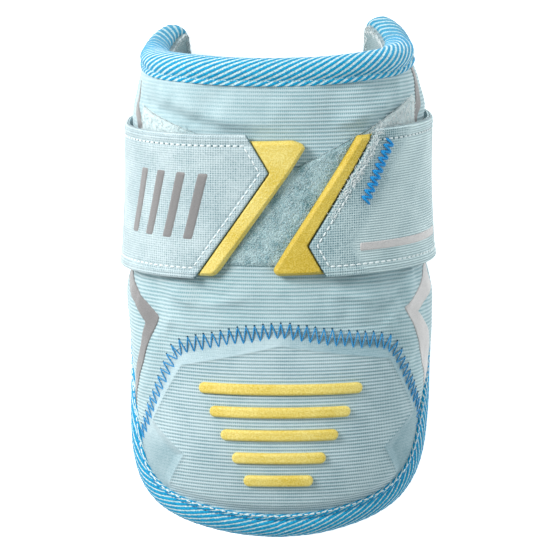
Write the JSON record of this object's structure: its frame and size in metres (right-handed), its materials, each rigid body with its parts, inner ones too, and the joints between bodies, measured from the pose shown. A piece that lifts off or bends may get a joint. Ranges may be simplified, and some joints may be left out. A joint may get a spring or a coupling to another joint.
{
  "type": "elbow guard",
  "caption": "Padded cloth elbow guard for batting, open along its back, with a domed elbow cover, bound rim and a wide wrap strap with rubber pull tabs",
  "frame": {"origin": "on the surface it lies on, under the middle of its length and width", "axes": "+X across the guard to the right seen from the front, +Y towards the upper arm, +Z out of the front of the elbow"},
  "size_m": [0.1135, 0.1792, 0.0955],
  "materials": {
    "cover_cloth": "fine ribbed stretch cloth, pale blue-green",
    "elbow_cloth": "fine ribbed stretch cloth over a moulded pad",
    "lining_mesh": "soft knitted lining",
    "binding_tape": "folded tape with slanted blue and white stripes",
    "loop_cloth": "fuzzy loop pile",
    "strap_cloth": "ribbed elastic webbing with stitched hems",
    "hook_cloth": "hook tape",
    "yellow_rubber": "fine-grained satin rubber, yellow",
    "stitch_thread": "twisted blue or white sewing thread",
    "grey_film": "thin satin grey film"
  },
  "bodies": {
    "root": {"upper_cover": "cover_cloth", "elbow_cover": "elbow_cloth", "inner_pad": "lining_mesh", "edge_binding": "binding_tape", "loop_panel": "loop_cloth", "strap_left_end": "strap_cloth", "strap_right_end": "strap_cloth", "strap_back": "strap_cloth", "hook_pad_left": "hook_cloth", "hook_pad_right": "hook_cloth", "pull_tab_left": "yellow_rubber", "pull_tab_right": "yellow_rubber", "raised_bar_1": "yellow_rubber", "raised_bar_2": "yellow_rubber", "raised_bar_3": "yellow_rubber", "raised_bar_4": "yellow_rubber", "raised_bar_5": "yellow_rubber"}
  },
  "joints": []
}
